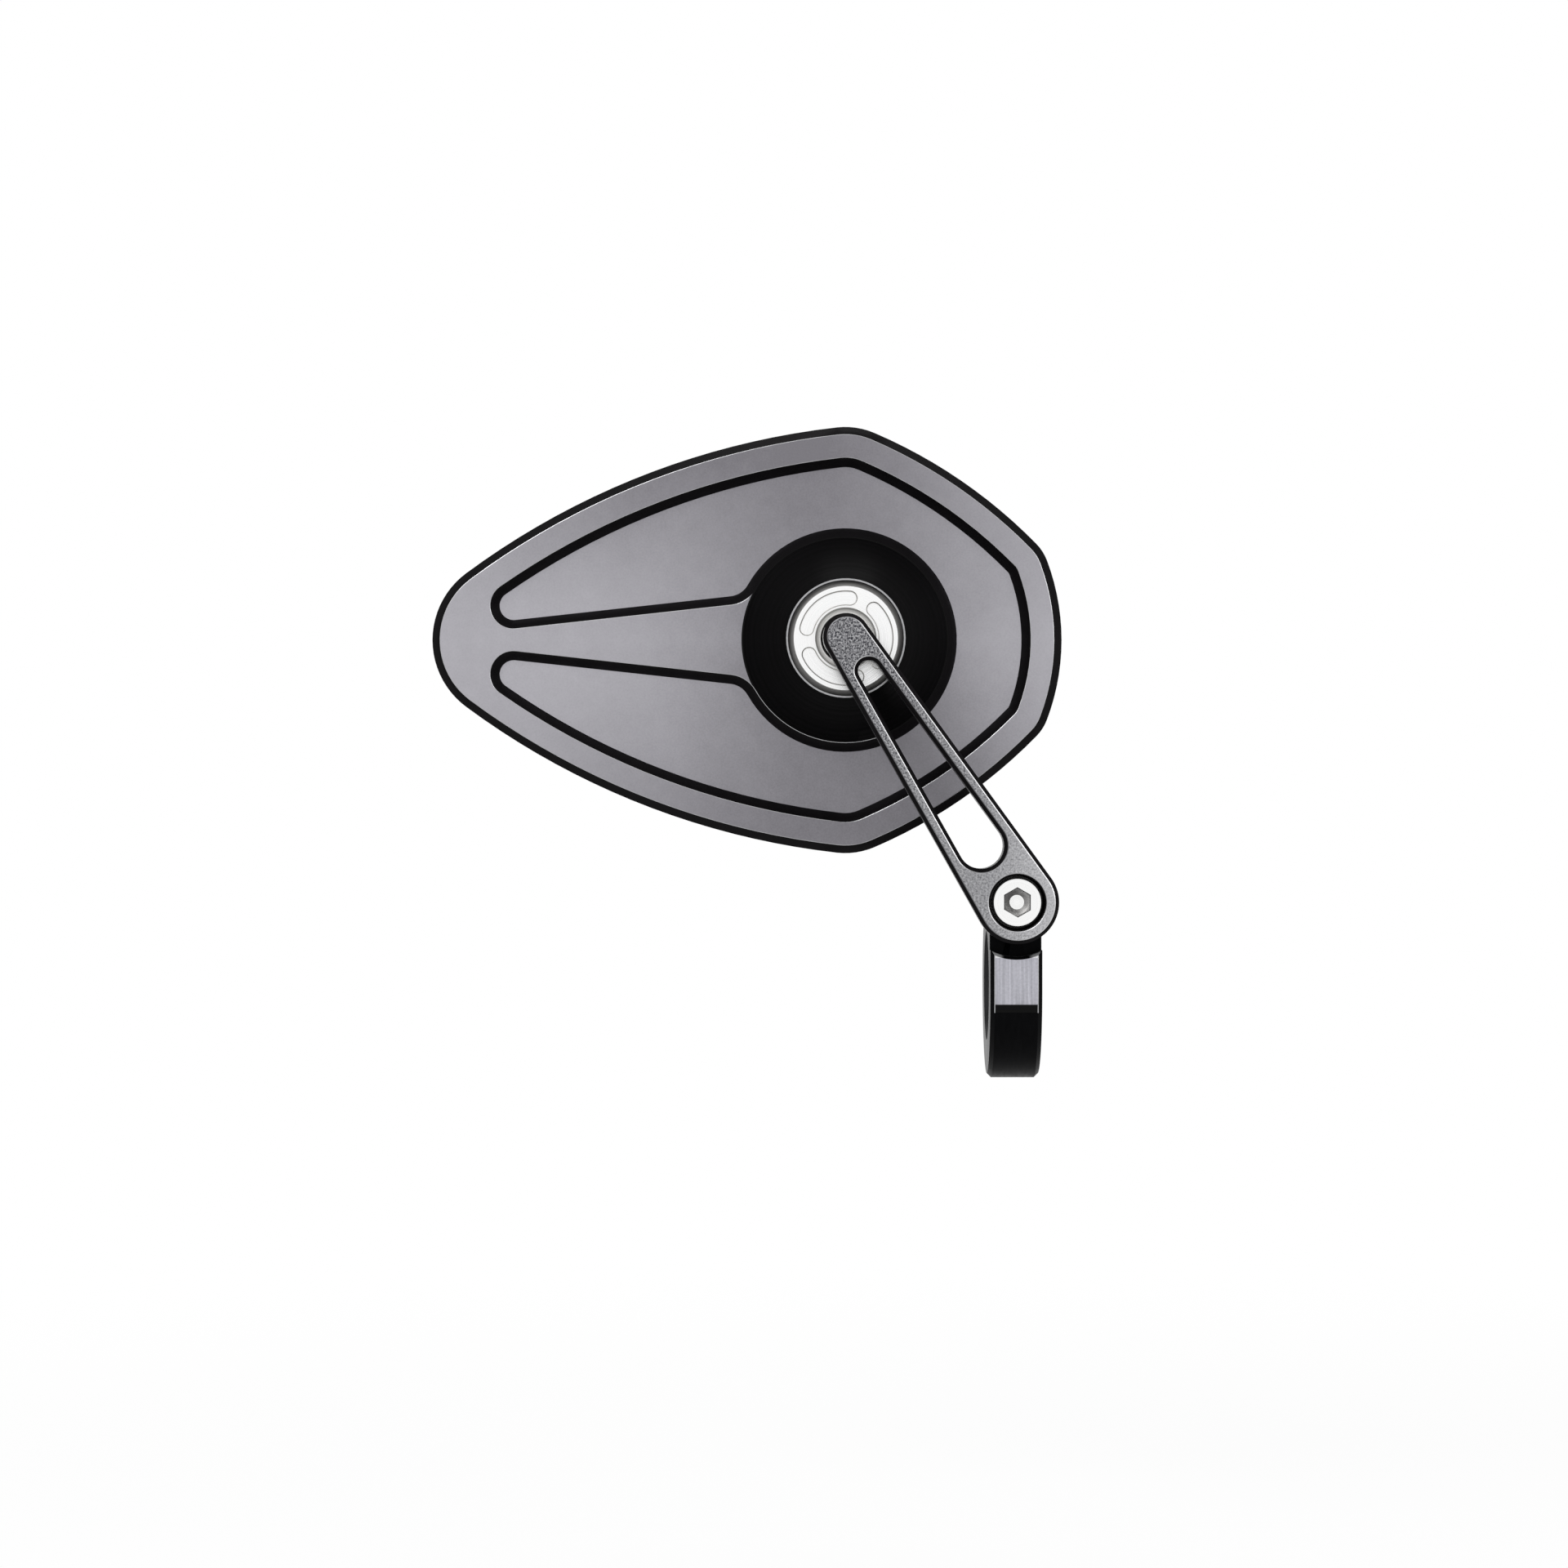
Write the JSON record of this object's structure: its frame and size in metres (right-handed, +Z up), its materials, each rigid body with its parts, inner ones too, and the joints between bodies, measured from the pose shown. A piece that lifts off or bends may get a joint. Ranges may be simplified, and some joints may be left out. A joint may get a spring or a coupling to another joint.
{
  "type": "motorcycle bar end mirror",
  "caption": "Shield-shaped convex mirror on a ball joint, carried by a slotted flat arm that a split clamp holds on the end of a handlebar.",
  "frame": {"origin": "middle of the clamp's bore, on the bar's axis", "axes": "+X along the bar, +Y the way the glass faces, +Z up"},
  "size_m": [0.1285, 0.0417, 0.1328],
  "materials": {
    "grey_anodised": "satin anodised, fine machining lines",
    "black_anodised": "black anodised, satin",
    "bright_aluminium": "fine turned, bright",
    "stainless": "bright stainless",
    "spring_steel": "dull, oiled",
    "white_acetal": "natural white",
    "black_acetal": "moulded, black",
    "black_nylon": "matt",
    "pad_foam": "closed foam",
    "mirror_glass": "second-surface chromed glass"
  },
  "bodies": {
    "clamp": {"clamp_ring": "black_anodised", "thread_insert": "stainless", "friction_washer": "black_nylon", "screw_washer": "stainless", "clamp_screw": "stainless"},
    "arm": {"arm": "grey_anodised", "ball_stud": "stainless"},
    "outer_seat": {"outer_seat": "black_acetal"},
    "inner_seat": {"inner_seat": "white_acetal"},
    "head": {"mirror_housing": "grey_anodised", "glass_pad": "pad_foam", "mirror_glass": "mirror_glass", "retaining_ring": "bright_aluminium", "thrust_washer": "spring_steel", "disc_spring_upper": "spring_steel", "disc_spring_lower": "spring_steel"}
  },
  "joints": [
    {"name": "arm_swing", "type": "hinge", "parent": "clamp", "child": "arm", "pos_m": [0, -0.019, 0.0175], "axis": [0, 1, 0], "range_deg": [-30, 70]},
    {"name": "head_turn", "type": "hinge", "parent": "arm", "child": "outer_seat", "pos_m": [-0.03404, -0.00465, 0.07052], "axis": [0, 0, 1], "range_deg": [-10, 10]},
    {"name": "head_tilt", "type": "hinge", "parent": "outer_seat", "child": "inner_seat", "pos_m": [-0.03404, -0.00465, 0.07052], "axis": [1, 0, 0], "range_deg": [-10, 10]},
    {"name": "head_spin", "type": "hinge", "parent": "inner_seat", "child": "head", "pos_m": [-0.03404, -0.00465, 0.07052], "axis": [0, 1, 0], "range_deg": [-30, 180]}
  ]
}
